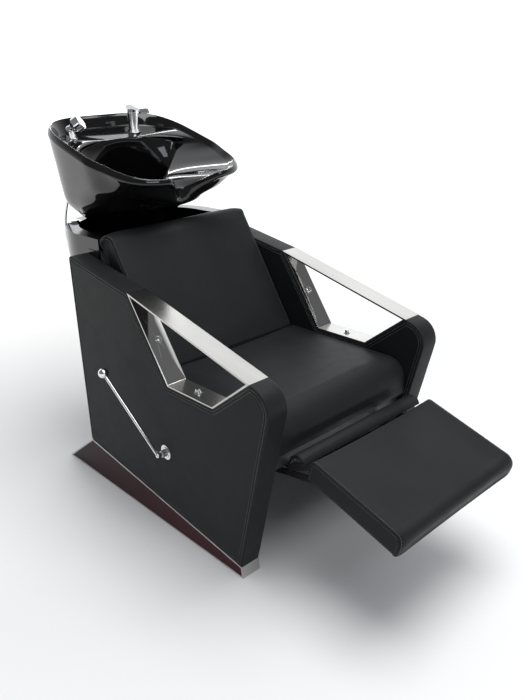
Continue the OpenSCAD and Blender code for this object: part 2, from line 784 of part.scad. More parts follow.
// Smooth curve through the points of a route, each_n steps between two points
function spline(p, each_n) = concat([for (i = [0:len(p) - 2], s = [0:each_n - 1])
    let (t = s / each_n, a = p[max(i - 1, 0)], b = p[i], c = p[i + 1], d = p[min(i + 2, len(p) - 1)])
    0.5 * (2 * b + (c - a) * t + (2 * a - 5 * b + 4 * c - d) * t * t
        + (3 * b - a - 3 * c + d) * t * t * t)], [p[len(p) - 1]]);
function tube_ring(c, dir, r, n) = let (side = unit(cross(dir, [0.2, 1, 0.1])),
    up = cross(side, dir)) [for (i = [0:n - 1])
    c + r * (cos(360 * i / n) * side + sin(360 * i / n) * up)];
module swept_tube(p, d, n) {
    m = len(p);
    polyhedron([for (i = [0:m - 1])
        each tube_ring(p[i], unit(p[min(i + 1, m - 1)] - p[max(i - 1, 0)]), d / 2, n)],
        loft_faces(m, n));
}
module shower_hose() {
    color("#b9bcbe") swept_tube(spline(HOSE_ROUTE, 2), hose_d, 10);
}
waste_d = 38;
spigot_len = 40;
waste_low = [[0, drain_y, 650], [0, 150, 628]];
module waste_hose() {
    color("#1a1b1d") difference() {
        union() {
            translate([0, drain_y, 676]) cylinder(d = 68, h = 34);
            translate([0, drain_y, 652]) cylinder(d1 = waste_d, d2 = 68, h = 24);
            for (c = waste_low) translate(c) sphere(d = waste_d);
            tube_between(waste_low[0], waste_low[1], waste_d);
            translate([0, 150, 60]) cylinder(d = waste_d, h = 568);
            translate([0, 150, 60 + spigot_len]) cylinder(d = waste_d + 10, h = 8);
        }
        translate([0, drain_y, 680]) cylinder(d = 60, h = 40);
        for (c = waste_low) translate(c) sphere(d = waste_d - 8);
        translate([0, drain_y, 650]) cylinder(d = waste_d - 8, h = 40);
        tube_between(waste_low[0], waste_low[1], waste_d - 8);
        translate([0, 150, 59]) cylinder(d = waste_d - 8, h = 569);
    }
}

// ---------- mixer and hand shower ----------
mixer_h = 62;
mixer_d = 34;
shank_h = 66;
// Two steps of the mixer's foot: diameters, each foot_step high
foot_d = [48, 41];
foot_step = 5;
module mixer_body() {
    color("#d8dadb") translate([mixer_at[0], mixer_at[1], mixer_base_z]) {
        for (i = [0, 1])
            translate([0, 0, i * foot_step]) cylinder(d = foot_d[i], h = foot_step);
        translate([0, 0, 2 * foot_step]) cylinder(d = mixer_d, h = mixer_h - 2 * foot_step);
        translate([0, 0, -shank_h]) cylinder(d = mixer_d - 4 * run_gap, h = shank_h);
    }
}
cap_h = 12;
cap_gap = 0.4;
module mixer_cap() {
    color("#d8dadb") translate([mixer_at[0], mixer_at[1], mixer_base_z + mixer_h + cap_gap])
        cylinder(d = mixer_d + 1, h = cap_h);
}
// The lever lifts about a round boss at its rear end, over the cap
boss_d = 12;
boss_c = [mixer_at[1] + 4, mixer_base_z + mixer_h + 2 * cap_gap + cap_h + boss_d / 2];
mixer_lever_half = 17;
module mixer_lever() {
    low = boss_c - [0, boss_d / 2];
    color("#c9cbcc") translate([mixer_at[0], 0, 0]) slab(-mixer_lever_half, mixer_lever_half) {
        disc_at(boss_c, boss_d);
        polygon(rounded([low, low + [0, boss_d], low + [-22, boss_d + 3], low + [-72, boss_d - 11],
            low + [-83, -15], low + [-75, -15], low + [-61, -4], low + [-28, 0]],
            [0, 0, 50, 12, 2, 2, 12, 20]));
    }
}
// The hand shower's stem slides in the holder
stem_d = 24;
stem_low = -30;
holder_d = 34;
holder_h = 17;
holder_stem = 50;
module spray_holder() {
    color("#d8dadb") translate([spray_at[0], spray_at[1], spray_base_z]) difference() {
        union() {
            cylinder(d = holder_d + 10, h = foot_step);
            cylinder(d = holder_d, h = holder_h);
            translate([0, 0, -holder_stem]) cylinder(d = spray_hole_d - 4 * run_gap, h = holder_stem);
        }
        translate([0, 0, -holder_stem - 1])
            cylinder(d = stem_d + 4 * run_gap, h = holder_stem + holder_h + 2);
    }
}
// Turn of the hand shower's head on its stem, and the head's diameter
shower_turn = [0, 58, -48];
head_d = 48;
neck_z = 28;
module hand_shower() {
    color("#d8dadb") translate([spray_at[0], spray_at[1], spray_base_z]) {
        translate([0, 0, stem_low]) cylinder(d = stem_d, h = neck_z - stem_low);
        translate([0, 0, holder_h + 0.5]) cylinder(d = stem_d + 6, h = 6);
        translate([0, 0, neck_z]) {
            sphere(d = stem_d + 4);
            rotate(shower_turn) {
                translate([0, 0, 4]) cylinder(d = stem_d + 1, h = 8);
                translate([0, 0, 12]) cylinder(d1 = stem_d + 1, d2 = head_d - 2, h = 13);
                translate([0, 0, 25]) cylinder(d = head_d, h = 20);
                translate([0, 0, 45]) cylinder(d = head_d - 6, h = 2);
            }
        }
    }
}
module hose_outlet() {
    color("#c9cbcc") translate([mixer_at[0], mixer_at[1] + 8, mixer_base_z - shank_h - foot_step])
        cylinder(d = 16, h = foot_step);
}

left_side_panel();
right_side_panel();
left_arm_frame();
right_arm_frame();
arm_frame_bolts();
left_base_rail();
right_base_rail();
left_plinth_panel();
right_plinth_panel();
mid_base_beam();
rear_base_beam();
seat_frame();
seat_board();
seat_cushion();
back_board();
back_cushion();
back_brackets();
left_hinge_bracket();
right_hinge_bracket();
leg_pivot_pins();
leg_rest_cushion();
leg_rest_board();
left_rocker_plate();
right_rocker_plate();
leg_crossbar();
rod_front_pins();
push_rods();
rod_rear_pins();
torque_shaft();
shaft_bearings();
lever_rod();
lever_ball();
escutcheon();
flap_frame();
gap_flap();
upper_cross_rail();
lower_cross_rail();
rear_cover();
access_panel();
access_screws();
drum_shell();
drum_pan();
deck_grommet();
bowl_bracket();
bowl_cradle();
tilt_pins();
bowl();
waste_flange();
waste_strainer();
waste_hose();
mixer_body();
mixer_cap();
mixer_lever();
spray_holder();
hand_shower();
shower_hose();
hose_outlet();
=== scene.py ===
"""Looks of the shampoo backwash unit: upholstery, glazed basin, steel, lever, hose and studio."""
import json
import math

import bmesh
import bpy
import numpy as np
from mathutils import Matrix, Vector


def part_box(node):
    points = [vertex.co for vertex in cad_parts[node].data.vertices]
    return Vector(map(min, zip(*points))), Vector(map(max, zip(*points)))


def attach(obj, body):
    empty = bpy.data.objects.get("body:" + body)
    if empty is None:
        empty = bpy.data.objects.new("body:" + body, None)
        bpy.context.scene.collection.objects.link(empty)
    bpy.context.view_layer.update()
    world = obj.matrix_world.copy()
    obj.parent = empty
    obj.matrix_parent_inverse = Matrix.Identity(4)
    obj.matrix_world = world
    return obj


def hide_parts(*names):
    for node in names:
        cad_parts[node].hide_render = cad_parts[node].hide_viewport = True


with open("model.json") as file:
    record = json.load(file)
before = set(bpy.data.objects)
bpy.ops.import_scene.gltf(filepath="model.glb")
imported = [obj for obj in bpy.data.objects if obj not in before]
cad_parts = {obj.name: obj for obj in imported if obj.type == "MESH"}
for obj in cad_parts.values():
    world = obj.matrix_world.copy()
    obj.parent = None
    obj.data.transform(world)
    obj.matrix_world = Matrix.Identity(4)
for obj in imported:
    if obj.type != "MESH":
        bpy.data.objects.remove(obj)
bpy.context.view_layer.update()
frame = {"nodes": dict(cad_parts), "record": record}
NODES = frame["nodes"]
MM = 0.001


# ---------- camera ----------
# Solved from the chair's parallel edges in the photo: its place in metres and its own axes
CAMERA_AT = (-1.2491, -1.6246, 1.2474)
CAMERA_RIGHT = Vector((0.7357, -0.6761, -0.0403)).normalized()
CAMERA_UP = Vector((0.2814, 0.2511, 0.9262))
SENSOR = 36
LENS = 36.05


def make_camera():
    data = bpy.data.cameras.new("camera")
    data.sensor_width = SENSOR
    data.sensor_height = SENSOR
    data.sensor_fit = "AUTO"
    data.lens = LENS
    data.dof.use_dof = False
    back = CAMERA_RIGHT.cross(CAMERA_UP).normalized()
    up = back.cross(CAMERA_RIGHT)
    turn = Matrix((CAMERA_RIGHT, up, back)).transposed().to_4x4()
    camera = bpy.data.objects.new("camera", data)
    camera.matrix_world = Matrix.Translation(CAMERA_AT) @ turn
    bpy.context.scene.collection.objects.link(camera)
    bpy.context.scene.camera = camera


make_camera()


# ---------- outlines ----------
BEND_STEPS = 8      # stretches in the rounding of each corner of a cushion or panel


def unit2(v):
    return v / np.linalg.norm(v)


def turn_sign(pts):
    area = 0.0
    for a, b in zip(pts, np.roll(pts, -1, axis=0)):
        area += a[0] * b[1] - a[1] * b[0]
    return 1.0 if area > 0 else -1.0


def inset(pts, d):
    """The closed outline moved inward by d on every edge."""
    pts = np.asarray(pts, float)
    s = turn_sign(pts)
    before, after = np.roll(pts, 1, axis=0), np.roll(pts, -1, axis=0)
    out = []
    for p, q, r in zip(before, pts, after):
        a, b = unit2(q - p), unit2(r - q)
        n0, n1 = s * np.array([-a[1], a[0]]), s * np.array([-b[1], b[0]])
        out.append(q + d * (n0 + n1) / (1 + n0 @ n1))
    return np.array(out)


def rounded(pts, radii, steps):
    """The closed outline with its corners rounded; every corner gives steps + 1 points."""
    pts = np.asarray(pts, float)
    m = len(pts)
    out = []
    for i in range(m):
        p, q, s, r = pts[i - 1], pts[i], pts[(i + 1) % m], radii[i]
        u, v = unit2(p - q), unit2(s - q)
        half = math.acos(max(-1.0, min(1.0, float(u @ v)))) / 2
        centre = q + unit2(u + v) * r / math.sin(half)
        a = q + u * r / math.tan(half) - centre
        b = q + v * r / math.tan(half) - centre
        a0 = math.atan2(a[1], a[0])
        da = (math.atan2(b[1], b[0]) - a0 + math.pi) % (2 * math.pi) - math.pi
        for k in range(steps + 1):
            t = a0 + da * k / steps
            out.append(centre + r * np.array([math.cos(t), math.sin(t)]))
    return np.array(out)


def inset_rounded(corners, radii, inside):
    """The rounded outline moved in by inside: convex corners get tighter, hollow ones wider."""
    inner = inset(corners, inside)
    s = turn_sign(inner)
    arcs = []
    for i, r in enumerate(radii):
        p, q, t = inner[i - 1], inner[i], inner[(i + 1) % len(inner)]
        a, b = unit2(q - p), unit2(t - q)
        convex = s * (a[0] * b[1] - a[1] * b[0]) > 0
        arcs.append(max(1.0, r - inside) if convex else r + inside)
    return rounded(inner, arcs, BEND_STEPS)


def smooth_line(points, steps):
    """A smooth curve through the points, with steps stretches between two of them."""
    p = [np.asarray(q, float) for q in points]
    out = []
    for i in range(len(p) - 1):
        a, b, c, d = p[max(i - 1, 0)], p[i], p[i + 1], p[min(i + 2, len(p) - 1)]
        for k in range(steps):
            t = k / steps
            out.append(0.5 * (2 * b + (c - a) * t + (2 * a - 5 * b + 4 * c - d) * t * t
                              + (3 * b - a - 3 * c + d) * t ** 3))
    out.append(p[-1])
    return out


def evenly(path, pitch, closed=False):
    """Points at an even pitch along a path, each with its direction."""
    pts = [np.asarray(p, float) for p in path]
    if closed:
        pts.append(pts[0])
    lengths = [np.linalg.norm(b - a) for a, b in zip(pts, pts[1:])]
    total = sum(lengths)
    count = max(2, int(round(total / pitch)))
    out, i, done = [], 0, 0.0
    for k in range(count):
        want = total * (k + 0.5) / count
        while i < len(lengths) - 1 and done + lengths[i] < want:
            done += lengths[i]
            i += 1
        if lengths[i] < 1e-9:
            continue
        t = (want - done) / lengths[i]
        out.append((pts[i] * (1 - t) + pts[i + 1] * t, (pts[i + 1] - pts[i]) / lengths[i]))
    return out


# ---------- meshes ----------
def new_object(name, vertices, faces, material, smooth=True):
    mesh = bpy.data.meshes.new(name)
    mesh.from_pydata([tuple(v) for v in vertices], [], [tuple(f) for f in faces])
    mesh.validate()
    work = bmesh.new()
    work.from_mesh(mesh)
    bmesh.ops.recalc_face_normals(work, faces=work.faces)
    work.to_mesh(mesh)
    work.free()
    mesh.polygons.foreach_set("use_smooth", [smooth] * len(mesh.polygons))
    mesh.materials.append(material)
    obj = bpy.data.objects.new(name, mesh)
    bpy.context.scene.collection.objects.link(obj)
    return obj


def loft(rings, closed_ends=True):
    """Vertices and faces joining closed rings of equal length."""
    n = len(rings[0])
    vertices = [p for ring in rings for p in ring]
    faces = []
    for j in range(len(rings) - 1):
        for i in range(n):
            a, b = j * n + i, j * n + (i + 1) % n
            faces.append((a, b, b + n, a + n))
    if closed_ends:
        faces.append(tuple(reversed(range(n))))
        last = (len(rings) - 1) * n
        faces.append(tuple(range(last, last + n)))
    return vertices, faces


def tube(path, radii, sides):
    """Rings round a path without twist; radii is one radius for each point."""
    pts = [Vector(p) for p in path]
    rings = []
    side = None
    for i, p in enumerate(pts):
        along = (pts[min(i + 1, len(pts) - 1)] - pts[max(i - 1, 0)]).normalized()
        if side is None:
            side = along.cross(Vector((0.2, 1, 0.1))).normalized()
        side = (side - along * side.dot(along)).normalized()
        up = side.cross(along)
        rings.append([p + radii[i] * (math.cos(2 * math.pi * k / sides) * side
                                      + math.sin(2 * math.pi * k / sides) * up)
                      for k in range(sides)])
    return loft(rings)


# ---------- materials ----------
NOISE_RANGE = (0.3, 0.7)      # the stretch of a noise's values that a variation is spread over


def shader_of(mat):
    return mat.node_tree.nodes["Principled BSDF"]


def material(name, colour, rough, metal=0.0, specular=0.5, sheen=0.0):
    mat = bpy.data.materials.new(name)
    mat.use_nodes = True
    inputs = shader_of(mat).inputs
    inputs["Base Color"].default_value = (*colour, 1)
    inputs["Roughness"].default_value = rough
    inputs["Metallic"].default_value = metal
    inputs["Specular IOR Level"].default_value = specular
    inputs["Sheen Weight"].default_value = sheen
    return mat


def add(owner, kind, **values):
    """A new node in a material or world; each value is for one of its inputs or settings."""
    node = owner.node_tree.nodes.new(kind)
    for key, value in values.items():
        if key in node.inputs:
            node.inputs[key].default_value = value
        else:
            setattr(node, key, value)
    return node


def link(owner, a, a_out, b, b_in):
    owner.node_tree.links.new(a.outputs[a_out], b.inputs[b_in])


def coords(mat, scale=(1, 1, 1)):
    place = add(mat, "ShaderNodeTexCoord")
    mapping = add(mat, "ShaderNodeMapping", Scale=scale)
    link(mat, place, "Object", mapping, "Vector")
    return mapping


def add_noise(mat, scale, detail, stretch=(1, 1, 1), **values):
    noise = add(mat, "ShaderNodeTexNoise", Scale=scale, Detail=detail, **values)
    link(mat, coords(mat, stretch), "Vector", noise, "Vector")
    return noise


def add_ramp(owner, low, high, start=0.0, end=1.0):
    """Turns start..end into the colours low..high."""
    ramp = add(owner, "ShaderNodeValToRGB")
    for k, (place, colour) in enumerate(((start, low), (end, high))):
        ramp.color_ramp.elements[k].position = place
        ramp.color_ramp.elements[k].color = (*colour, 1)
    return ramp


def add_range(mat, start, end, low=0.0, high=1.0, **values):
    """Turns start..end into the numbers low..high."""
    spread = {"From Min": start, "From Max": end, "To Min": low, "To Max": high}
    return add(mat, "ShaderNodeMapRange", **spread, **values)


def vary_colour(mat, low, high, scale, stretch=(1, 1, 1)):
    noise = add_noise(mat, scale, 4.0, stretch, Roughness=0.6)
    ramp = add_ramp(mat, low, high, *NOISE_RANGE)
    link(mat, noise, "Fac", ramp, "Fac")
    link(mat, ramp, "Color", shader_of(mat), "Base Color")


def vary_rough(mat, low, high, scale, stretch=(1, 1, 1)):
    noise = add_noise(mat, scale, 5.0, stretch, Roughness=0.6)
    spread = add_range(mat, *NOISE_RANGE, low, high)
    link(mat, noise, "Fac", spread, "Value")
    link(mat, spread, "Result", shader_of(mat), "Roughness")


def add_bump(mat, texture, output, depth, strength):
    """Lays a bump over those the material has already."""
    bump = add(mat, "ShaderNodeBump", Strength=strength, Distance=depth)
    link(mat, texture, output, bump, "Height")
    shader = shader_of(mat)
    if shader.inputs["Normal"].is_linked:
        before = shader.inputs["Normal"].links[0].from_node
        link(mat, before, "Normal", bump, "Normal")
    link(mat, bump, "Normal", shader, "Normal")


def make_leather():
    mat = material("leatherette", (0.0145, 0.0158, 0.0165), 0.42, specular=0.1)
    vary_colour(mat, (0.0135, 0.0150, 0.0155), (0.0165, 0.0182, 0.0188), 9)
    vary_rough(mat, 0.40, 0.48, 30)
    grain = add(mat, "ShaderNodeTexVoronoi", Scale=850.0, Randomness=1.0)
    link(mat, coords(mat), "Vector", grain, "Vector")
    add_bump(mat, grain, "Distance", 0.00016, 0.6)
    add_bump(mat, add_noise(mat, 260.0, 3.0), "Fac", 0.0003, 0.25)
    return mat


def make_thread():
    mat = material("thread", (0.09, 0.094, 0.1), 0.6, sheen=0.3)
    vary_colour(mat, (0.07, 0.073, 0.078), (0.11, 0.115, 0.12), 700)
    return mat


def make_arm_steel():
    """Bright steel: brushed on faces that look up, near mirror elsewhere."""
    mat = material("polished_steel", (0.74, 0.73, 0.71), 0.1, metal=1.0)
    vary_colour(mat, (0.46, 0.455, 0.44), (0.60, 0.59, 0.57), 6, (1, 0.3, 0.3))
    strokes = add_noise(mat, 30.0, 4.0, (60, 1, 1))
    facing = add(mat, "ShaderNodeNewGeometry")
    split = add(mat, "ShaderNodeSeparateXYZ")
    link(mat, facing, "Normal", split, "Vector")
    rise = add_range(mat, 0.90, 0.97, 0.05, 0.17)
    link(mat, split, "Z", rise, "Value")
    wear = add(mat, "ShaderNodeMath", operation="MULTIPLY_ADD")
    wear.inputs[1].default_value = 0.07
    link(mat, strokes, "Fac", wear, 0)
    link(mat, rise, "Result", wear, 2)
    link(mat, wear, "Value", shader_of(mat), "Roughness")
    add_bump(mat, strokes, "Fac", 0.000006, 0.3)
    return mat


def make_chrome():
    mat = material("chrome", (0.83, 0.84, 0.85), 0.05, metal=1.0)
    vary_rough(mat, 0.03, 0.09, 45)
    return mat


def make_bare_steel():
    mat = material("bare_steel", (0.42, 0.43, 0.44), 0.3, metal=1.0)
    vary_rough(mat, 0.24, 0.42, 90, (1, 8, 8))
    return mat


def make_ceramic():
    mat = material("ceramic", (0.003, 0.003, 0.0035), 0.07)
    vary_colour(mat, (0.0022, 0.0022, 0.0026), (0.0042, 0.0042, 0.0047), 14)
    add_bump(mat, add_noise(mat, 22.0, 1.0), "Fac", 0.0006, 0.12)
    return mat


def make_plinth():
    """Dark red gloss with a painted reflection: lighter at the front, where it mirrors lit floor,
    and darker towards the rear, where it mirrors shaded floor.
    """
    mat = material("plinth_gloss", (0.04, 0.01, 0.015), 0.16, specular=0.1)
    split = add(mat, "ShaderNodeSeparateXYZ")
    link(mat, coords(mat), "Vector", split, "Vector")
    # Painted reflection: the base colour runs from lighter at the front (lit floor mirrored) to
    # darker at the rear (shaded floor mirrored).
    spread = add_range(mat, -0.30, 0.30)
    link(mat, split, "Y", spread, "Value")
    ramp = add_ramp(mat, (0.060, 0.010, 0.017), (0.020, 0.002, 0.004))
    link(mat, spread, "Result", ramp, "Fac")
    link(mat, ramp, "Color", shader_of(mat), "Base Color")
    vary_rough(mat, 0.08, 0.16, 40)
    return mat


def make_housing():
    mat = material("housing_gloss", (0.005, 0.005, 0.006), 0.16)
    vary_colour(mat, (0.005, 0.005, 0.006), (0.008, 0.008, 0.009), 12)
    vary_rough(mat, 0.08, 0.16, 40)
    return mat


def make_painted():
    mat = material("black_frame", (0.018, 0.018, 0.02), 0.45)
    vary_rough(mat, 0.38, 0.55, 120)
    add_bump(mat, add_noise(mat, 500.0, 2.0), "Fac", 0.0001, 0.4)
    return mat


def make_matte(name, colour):
    mat = material(name, colour, 0.6)
    vary_rough(mat, 0.5, 0.7, 150)
    return mat


LEATHER = make_leather()
THREAD = make_thread()
CHROME = make_chrome()
CERAMIC = make_ceramic()
BY_SLOT = {
    "leatherette": LEATHER,
    "polished_steel": make_arm_steel(),
    "chrome": CHROME,
    "bare_steel": make_bare_steel(),
    "ceramic": CERAMIC,
    "plinth_gloss": make_plinth(),
    "housing_gloss": make_housing(),
    "black_frame": make_painted(),
    "black_board": make_matte("black_board", (0.015, 0.015, 0.016)),
    "rubber": make_matte("rubber", (0.018, 0.018, 0.019)),
    "hose_steel": CHROME,
}


# ---------- shower hose ----------
# From the hand shower down behind the housing and up to the mixer, in millimetres
HOSE_ROUTE = [
    (-153, 466, 1028.4), (-153, 466, 996), (-153, 473, 963), (-152, 492, 930), (-149, 520, 900),
    (-145, 549, 874), (-148, 570, 840), (-152, 583, 800), (-154, 590, 755), (-151, 592, 710),
    (-141, 590, 665), (-121, 587, 627), (-91, 585, 602), (-54, 584, 592), (-17, 584, 596),
    (16, 584, 614), (42, 584, 643), (59, 584, 681), (68, 585, 725), (72, 585, 770),
    (73, 578, 813), (74, 560, 850), (76, 532, 880), (79, 504, 907), (80, 486, 935),
    (80, 476, 962), (80, 474, 989)]
HOSE_D = 0.012
HOSE_SIDES = 14
RIB_PITCH = 0.0015
RIB_WAIST = 0.88      # the hose's thickness between two ribs, as a share of HOSE_D


def make_hose():
    line = smooth_line([np.array(p) * MM for p in HOSE_ROUTE], 12)
    path = [p for p, _ in evenly(line, RIB_PITCH)]
    path = [line[0]] + path[1:-1] + [line[-1]]
    radii = [HOSE_D / 2 * (1.0 if i % 2 else RIB_WAIST) for i in range(len(path))]
    hose = new_object("hose", *tube(path, radii, HOSE_SIDES), CHROME)
    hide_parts("shower_hose")
    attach(hose, "basin_unit")


make_hose()


# ---------- seams ----------
STITCH_PITCH = 0.0065
STITCH_LENGTH = 0.0046
STITCH_R = 0.00055
STITCH_LIFT = 0.0002


def capsule(centre, along, out):
    """A small stitch: a six-sided capsule lying on the surface."""
    along = along.normalized()
    side = along.cross(out).normalized()
    up = side.cross(along)
    rings = []
    for t, r in ((-0.5, 0.35), (-0.3, 1.0), (0.3, 1.0), (0.5, 0.35)):
        rings.append([centre + along * (t * STITCH_LENGTH)
                      + STITCH_R * r * (math.cos(a) * side + math.sin(a) * up)
                      for a in (k * math.pi / 3 for k in range(6))])
    return loft(rings)


def stitch_rows(name, stations, offsets, body):
    """Stitches at stations (point, direction, outward normal), in rows beside the line."""
    vertices, faces = [], []
    for centre, along, out in stations:
        side = along.cross(out).normalized()
        for offset in offsets:
            v, f = capsule(centre + side * offset + out * STITCH_LIFT, along, out)
            base = len(vertices)
            vertices += v
            faces += [tuple(i + base for i in q) for q in f]
    rows = new_object(name, vertices, faces, THREAD)
    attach(rows, body)


# ---------- cushions ----------
# Sizes and [y, z] places of the padding, in millimetres, as in the part
BACK_LEAN = math.radians(31.6)
BACK_FOOT = np.array([-84.0, 467.0])
BACK_THICK = 65.0
BACK_LEN = 430.0
BACK_CORNER = 42
LEG_SLOPE = math.radians(17.5)
LEG_ROOT = np.array([-635.0, 390.0])
LEG_THICK = 58.0
LEG_LEN = 284.0
LEG_CORNER = 22
SEAT_EDGE = 9.0
PAD_EDGE = 5.0
PAD_SEAM = 6.5        # from a side edge of the backrest or leg rest to the stitches beside it
SEAM_DENT = 0.7
EDGE_CREASE = 0.9     # how deep the joint of two covers lies in the middle of a rounded edge
CREASE_SHARE = 0.7    # the share of that depth along each of the two faces
EDGE_STEPS = 8
FLAT_RINGS = (26, 20, 15, 11)      # rings on a block's side face, by their distance in
RING_GAP = 6
POINT_PITCH = 4.5

# The cloth that puffs the padding
PRESSURE = 4
PUFF_FRAMES = 14
MOST_PUFF = 4.0                    # the most a point may move, in millimetres
SMOOTH_ROUNDS = 6
# How high the cloth is held: above the seat's and the leg rest's underside and the back's foot
SEAT_HELD, LEG_HELD, BACK_HELD = 4, 3, 6
PAD_FILL = 0.85
FLAP_EDGE = 0.0022


def copy_of(node, name):
    obj = bpy.data.objects.new(name, NODES[node].data.copy())
    bpy.context.scene.collection.objects.link(obj)
    obj.data.materials.clear()
    work = bmesh.new()
    work.from_mesh(obj.data)
    bmesh.ops.remove_doubles(work, verts=work.verts, dist=1e-6)
    work.to_mesh(obj.data)
    work.free()
    return obj


def apply_modifiers(obj):
    graph = bpy.context.evaluated_depsgraph_get()
    mesh = bpy.data.meshes.new_from_object(obj.evaluated_get(graph))
    obj.modifiers.clear()
    obj.data = mesh


def add_modifier(obj, kind, **values):
    mod = obj.modifiers.new(kind.lower(), kind)
    for key, value in values.items():
        setattr(mod, key, value)
    return mod


def puff(obj, pins):
    """How far each point of a closed mesh moves when cloth under pressure swells it."""
    start = np.array([v.co for v in obj.data.vertices])
    held = obj.vertex_groups.new(name="held")
    held.add([int(i) for i in pins], 1.0, "REPLACE")
    cloth = add_modifier(obj, "CLOTH")
    cloth.settings.use_pressure = True
    cloth.settings.uniform_pressure_force = PRESSURE
    cloth.settings.effector_weights.gravity = 0
    cloth.settings.tension_stiffness = 15
    cloth.settings.compression_stiffness = 15
    cloth.settings.shear_stiffness = 10
    cloth.settings.bending_stiffness = 2
    cloth.settings.vertex_group_mass = "held"
    scene = bpy.context.scene
    for step in range(1, PUFF_FRAMES + 1):
        scene.frame_set(step)
    graph = bpy.context.evaluated_depsgraph_get()
    end = np.array([v.co for v in obj.evaluated_get(graph).data.vertices])
    obj.modifiers.clear()
    obj.vertex_groups.clear()
    scene.frame_set(1)
    move = end - start
    size = np.linalg.norm(move, axis=1, keepdims=True)
    move *= np.minimum(1, MOST_PUFF * MM / np.maximum(size, 1e-9))
    return move


def even_out(field, rows, columns, rounds):
    """Smooths a field over the grid of rings (rows) and the points round them (columns)."""
    grid = field.reshape(rows, columns, 3)
    for _ in range(rounds):
        across = (np.roll(grid, 1, axis=1) + np.roll(grid, -1, axis=1)) / 2
        grid = 0.5 * grid + 0.5 * across
        grid[1:-1] = 0.5 * grid[1:-1] + 0.25 * (grid[:-2] + grid[2:])
    return grid.reshape(-1, 3)


class Block:
    """A padded block: a rounded [y, z] outline carried across a node's width, in millimetres.

    edge is the rounding of its side edges; seam is how far the stitches lie from them, or 0 for
    none.  tip is the far end's [y, z] point and its outward direction; the block's two corners
    there are rounded by corner.
    """

    def __init__(self, node, corners, radii, edge, seam=0, tip=None, corner=0):
        self.node, self.corners, self.radii = node, corners, radii
        self.edge, self.seam, self.tip, self.corner = edge, seam, tip, corner
        self.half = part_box(node)[1].x / MM

    def ring(self, inside, x):
        """The outline moved in by inside, at width x, with points all along its sides."""
        bends = inset_rounded(self.corners, self.radii, inside)
        bends = bends.reshape(len(self.corners), BEND_STEPS + 1, 2)
        ring = []
        for i, bend in enumerate(bends):
            j = (i + 1) % len(bends)
            gap = np.asarray(self.corners[j], float) - np.asarray(self.corners[i], float)
            count = max(2, int(np.linalg.norm(gap) / POINT_PITCH))
            a, b = bend[-1], bends[j][0]
            ring += list(bend) + [a + (b - a) * k / count for k in range(1, count)]
        return self.round_tip([(x, y, z) for y, z in ring])

    def round_tip(self, points):
        """Moves the points near the two corners at the tip onto their rounding."""
        if self.tip is None:
            return points
        end, out = np.asarray(self.tip[0], float), unit2(np.asarray(self.tip[1], float))
        radius = self.corner
        moved = []
        for x, y, z in points:
            u = 1 - (self.half - abs(x)) / radius
            depth = (end - np.array([y, z])) @ out
            v = 1 - depth / radius
            if u > 0 and v > 0:
                u, v = min(u, 1.0), min(v, 1.0)
                shift = radius * (v * math.sqrt(1 - u * u / 2) - v)
                x += math.copysign(radius * (u * math.sqrt(1 - v * v / 2) - u), x)
                y, z = y + shift * out[0], z + shift * out[1]
            moved.append((x, y, z))
        return moved


def soft_block(name, block, held):
    """The block's padding, puffed by cloth; held tells which points the cloth can't move."""
    edge, seam, half = block.edge, block.seam, block.half
    near = [(inside, 0.0) for inside in FLAT_RINGS]
    if seam:
        near += [(seam + 2, 0.0), (seam, -SEAM_DENT), (seam - 2, 0.0)]
    for k in range(EDGE_STEPS + 1):
        a = math.pi / 2 * k / EDGE_STEPS
        dip = EDGE_CREASE * math.exp(-((k - EDGE_STEPS / 2) / 1.2) ** 2) if seam else 0.0
        near.append((edge * (1 - math.sin(a)) + dip * CREASE_SHARE,
                     -edge * (1 - math.cos(a)) - dip * CREASE_SHARE))
    if seam:
        near += [(0.0, -seam + 2), (SEAM_DENT, -seam), (0.0, -seam - 2)]
    inner = half - (seam or edge) - RING_GAP
    count = int(2 * inner / RING_GAP)
    rows = [(inside, half + step) for inside, step in near]
    rows += [(0.0, inner - 2 * inner * k / count) for k in range(count + 1)]
    rows += [(inside, -half - step) for inside, step in reversed(near)]
    rings = [block.ring(inside, x) for inside, x in rows]
    flat = np.array([p for ring in rings for p in ring]) * MM
    split = [[Vector(p) for p in ring] for ring in np.split(flat, len(rings))]
    pad = new_object(name, *loft(split), LEATHER)
    pinned = (half - (seam or edge) - 5) * MM
    pins = [k for k, p in enumerate(flat) if abs(p[0]) > pinned or held(p)]
    move = even_out(puff(pad, pins), len(rings), len(rings[0]), SMOOTH_ROUNDS)
    pad.data.vertices.foreach_set("co", (flat + move).astype(np.float32).ravel())
    pad.data.update()
    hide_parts(block.node)
    return pad


def block_stitches(name, block, body, keep):
    """Stitch rows beside both side edges: one on the side face, one on the face next to it."""
    sink, inside = 0.0003, 0.4      # how deep each row lies: in metres, and in millimetres
    turn = turn_sign(np.array(block.corners))

    def places(ring):
        return evenly([np.array(q) * MM for q in ring], STITCH_PITCH, closed=True)

    for side, side_name in ((-1, "left"), (1, "right")):
        stations = []
        for p, d in places(block.ring(block.seam, side * block.half)):
            stations.append((Vector(p) - Vector((side * sink, 0, 0)), Vector(d),
                             Vector((side, 0, 0))))
        for p, d in places(block.ring(inside, side * (block.half - block.seam))):
            stations.append((Vector(p), Vector(d), Vector((0, turn * d[2], -turn * d[1]))))
        stitch_rows(f"{name}_{side_name}", [q for q in stations if keep(q[0])], (0.0,), body)


def place(obj, body, fill):
    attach(obj, body)


def make_seat():
    low, high = [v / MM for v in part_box("seat_cushion")]
    corners = [(low.y, low.z), (low.y, high.z), (high.y, high.z), (high.y, low.z)]
    floor_z = (low.z + SEAT_HELD) * MM
    seat = soft_block("seat", Block("seat_cushion", corners, [12, 55, 8, 3], SEAT_EDGE),
                      lambda p: p[2] < floor_z)
    place(seat, "chair", PAD_FILL)


